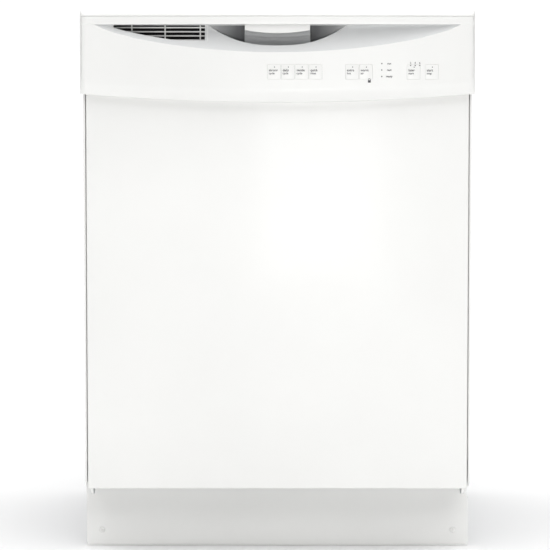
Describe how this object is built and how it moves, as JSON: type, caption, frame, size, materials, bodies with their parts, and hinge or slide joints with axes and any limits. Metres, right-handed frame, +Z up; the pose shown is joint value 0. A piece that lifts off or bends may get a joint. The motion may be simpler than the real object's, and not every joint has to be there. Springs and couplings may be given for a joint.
{
  "type": "built in dishwasher",
  "caption": "Front-control built-in dishwasher with a drop-down door, sliding racks on wheels and rails, spinning spray arms and press buttons.",
  "frame": {"origin": "on the floor, at the middle of the machine's width and depth", "axes": "+X to the viewer's right, -Y out of the front, +Z up"},
  "size_m": [0.607, 0.628, 0.843],
  "materials": {
    "white_plastic": "satin white moulding",
    "white_enamel": "gloss white enamel on steel",
    "grey_plastic": "mid grey moulding",
    "dark_plastic": "black moulding",
    "tub_plastic": "pale grey moulding",
    "galvanised": "galvanised steel sheet",
    "stainless": "stainless steel",
    "rubber": "matt black",
    "blanket": "dark felted fibre",
    "rack_vinyl": "blue grey coating on wire",
    "circuit_board": "green lacquer",
    "blue_plastic": "blue moulding"
  },
  "bodies": {
    "cabinet": {"base_frame": "galvanised", "levelling_leg_front_left": "galvanised", "levelling_leg_front_right": "galvanised", "levelling_leg_rear_left": "galvanised", "levelling_leg_rear_right": "galvanised", "tub": "tub_plastic", "tub_gasket": "rubber", "tub_frame": "galvanised", "door_strike": "stainless", "insulation_blanket": "blanket", "toe_kick": "white_enamel", "toe_screw_left": "white_enamel", "toe_screw_right": "white_enamel", "sump": "dark_plastic", "wash_motor": "stainless", "drain_pump": "dark_plastic", "sump_filter": "grey_plastic", "spray_conduit": "grey_plastic", "heater_element": "stainless", "rack_guide_left": "grey_plastic", "rack_guide_right": "grey_plastic", "inlet_valve": "dark_plastic", "junction_box": "galvanised", "door_spring_left": "galvanised", "door_spring_right": "galvanised"},
    "door": {"outer_door_panel": "white_enamel", "inner_door_panel": "tub_plastic", "door_insulation": "blanket", "console": "white_plastic", "control_board": "circuit_board", "vent_grille": "white_plastic", "vent_duct": "dark_plastic", "handle_pocket": "grey_plastic", "latch_housing": "grey_plastic", "hinge_arm_left": "galvanised", "hinge_arm_right": "galvanised", "dispenser_housing": "grey_plastic"},
    "button_heavy": {"button_heavy": "white_plastic"},
    "button_normal": {"button_normal": "white_plastic"},
    "button_light": {"button_light": "white_plastic"},
    "button_rinse": {"button_rinse": "white_plastic"},
    "button_hot": {"button_hot": "white_plastic"},
    "button_dry": {"button_dry": "white_plastic"},
    "button_delay": {"button_delay": "white_plastic"},
    "button_start": {"button_start": "white_plastic"},
    "latch_handle": {"latch_handle": "white_plastic"},
    "dispenser_lid": {"dispenser_lid": "grey_plastic"},
    "rinse_aid_cap": {"rinse_aid_cap": "blue_plastic"},
    "float_cap": {"float_cap": "grey_plastic"},
    "lower_spray_arm": {"lower_spray_arm": "grey_plastic"},
    "lower_rack": {"lower_rack": "rack_vinyl", "cutlery_basket": "grey_plastic"},
    "lower_wheel_front_left": {"lower_wheel_front_left": "grey_plastic"},
    "lower_wheel_front_right": {"lower_wheel_front_right": "grey_plastic"},
    "lower_wheel_rear_left": {"lower_wheel_rear_left": "grey_plastic"},
    "lower_wheel_rear_right": {"lower_wheel_rear_right": "grey_plastic"},
    "upper_rails": {"upper_rail_left": "stainless", "upper_rail_right": "stainless"},
    "upper_rack": {"upper_rack": "rack_vinyl"},
    "upper_spray_arm": {"upper_spray_arm": "grey_plastic"}
  },
  "joints": [
    {"name": "door_hinge", "type": "hinge", "parent": "cabinet", "child": "door", "pos_m": [0, -0.26, 0.114], "axis": [1, 0, 0], "range_deg": [0, 90], "stiffness_Nm_per_rad": 14, "deforming": ["door_spring_left", "door_spring_right"]},
    {"name": "button_heavy_press", "type": "slide", "parent": "door", "child": "button_heavy", "axis": [0, 1, 0], "range_m": [0, 0.0012], "stiffness_N_per_m": 400},
    {"name": "button_normal_press", "type": "slide", "parent": "door", "child": "button_normal", "axis": [0, 1, 0], "range_m": [0, 0.0012], "stiffness_N_per_m": 400},
    {"name": "button_light_press", "type": "slide", "parent": "door", "child": "button_light", "axis": [0, 1, 0], "range_m": [0, 0.0012], "stiffness_N_per_m": 400},
    {"name": "button_rinse_press", "type": "slide", "parent": "door", "child": "button_rinse", "axis": [0, 1, 0], "range_m": [0, 0.0012], "stiffness_N_per_m": 400},
    {"name": "button_hot_press", "type": "slide", "parent": "door", "child": "button_hot", "axis": [0, 1, 0], "range_m": [0, 0.0012], "stiffness_N_per_m": 400},
    {"name": "button_dry_press", "type": "slide", "parent": "door", "child": "button_dry", "axis": [0, 1, 0], "range_m": [0, 0.0012], "stiffness_N_per_m": 400},
    {"name": "button_delay_press", "type": "slide", "parent": "door", "child": "button_delay", "axis": [0, 1, 0], "range_m": [0, 0.0012], "stiffness_N_per_m": 400},
    {"name": "button_start_press", "type": "slide", "parent": "door", "child": "button_start", "axis": [0, 1, 0], "range_m": [0, 0.0012], "stiffness_N_per_m": 400},
    {"name": "latch_handle_pull", "type": "hinge", "parent": "door", "child": "latch_handle", "pos_m": [0, -0.3035, 0.8315], "axis": [-1, 0, 0], "range_deg": [0, 10], "stiffness_Nm_per_rad": 0.3},
    {"name": "dispenser_lid_hinge", "type": "hinge", "parent": "door", "child": "dispenser_lid", "pos_m": [-0.0025, -0.244, 0.4285], "axis": [1, 0, 0], "range_deg": [0, 90]},
    {"name": "rinse_aid_cap_turn", "type": "hinge", "parent": "door", "child": "rinse_aid_cap", "pos_m": [0.0835, -0.244, 0.4], "axis": [0, 1, 0], "range_deg": [0, 90]},
    {"name": "float_lift", "type": "slide", "parent": "cabinet", "child": "float_cap", "axis": [0, 0, 1], "range_m": [0, 0.008]},
    {"name": "lower_arm_spin", "type": "hinge", "parent": "cabinet", "child": "lower_spray_arm", "pos_m": [0, 0.03, 0.161], "axis": [0, 0, 1], "continuous": true},
    {"name": "lower_rack_slide", "type": "slide", "parent": "cabinet", "child": "lower_rack", "axis": [0, -1, 0], "range_m": [0, 0.115]},
    {"name": "lower_wheel_front_left_roll", "type": "hinge", "parent": "lower_rack", "child": "lower_wheel_front_left", "pos_m": [-0.24, -0.153, 0.163], "axis": [1, 0, 0], "range_deg": [0, 330]},
    {"name": "lower_wheel_front_right_roll", "type": "hinge", "parent": "lower_rack", "child": "lower_wheel_front_right", "pos_m": [0.24, -0.153, 0.163], "axis": [1, 0, 0], "range_deg": [0, 330]},
    {"name": "lower_wheel_rear_left_roll", "type": "hinge", "parent": "lower_rack", "child": "lower_wheel_rear_left", "pos_m": [-0.24, 0.182, 0.163], "axis": [1, 0, 0], "range_deg": [0, 330]},
    {"name": "lower_wheel_rear_right_roll", "type": "hinge", "parent": "lower_rack", "child": "lower_wheel_rear_right", "pos_m": [0.24, 0.182, 0.163], "axis": [1, 0, 0], "range_deg": [0, 330]},
    {"name": "upper_rails_slide", "type": "slide", "parent": "cabinet", "child": "upper_rails", "axis": [0, -1, 0], "range_m": [0, 0.2]},
    {"name": "upper_rack_slide", "type": "slide", "parent": "upper_rails", "child": "upper_rack", "axis": [0, -1, 0], "range_m": [0, 0.25]},
    {"name": "upper_arm_spin", "type": "hinge", "parent": "upper_rack", "child": "upper_spray_arm", "pos_m": [0, 0.03, 0.5], "axis": [0, 0, 1], "continuous": true}
  ],
  "couplings": [
    {"joint": "lower_rack_slide", "follows": "door_hinge", "m_per_rad": 0.073},
    {"joint": "upper_rails_slide", "follows": "door_hinge", "m_per_rad": 0.127},
    {"joint": "upper_rack_slide", "follows": "door_hinge", "m_per_rad": 0.159},
    {"joint": "lower_wheel_front_left_roll", "follows": "door_hinge", "ratio": 3.65},
    {"joint": "lower_wheel_front_right_roll", "follows": "door_hinge", "ratio": 3.65},
    {"joint": "lower_wheel_rear_left_roll", "follows": "door_hinge", "ratio": 3.65},
    {"joint": "lower_wheel_rear_right_roll", "follows": "door_hinge", "ratio": 3.65}
  ]
}
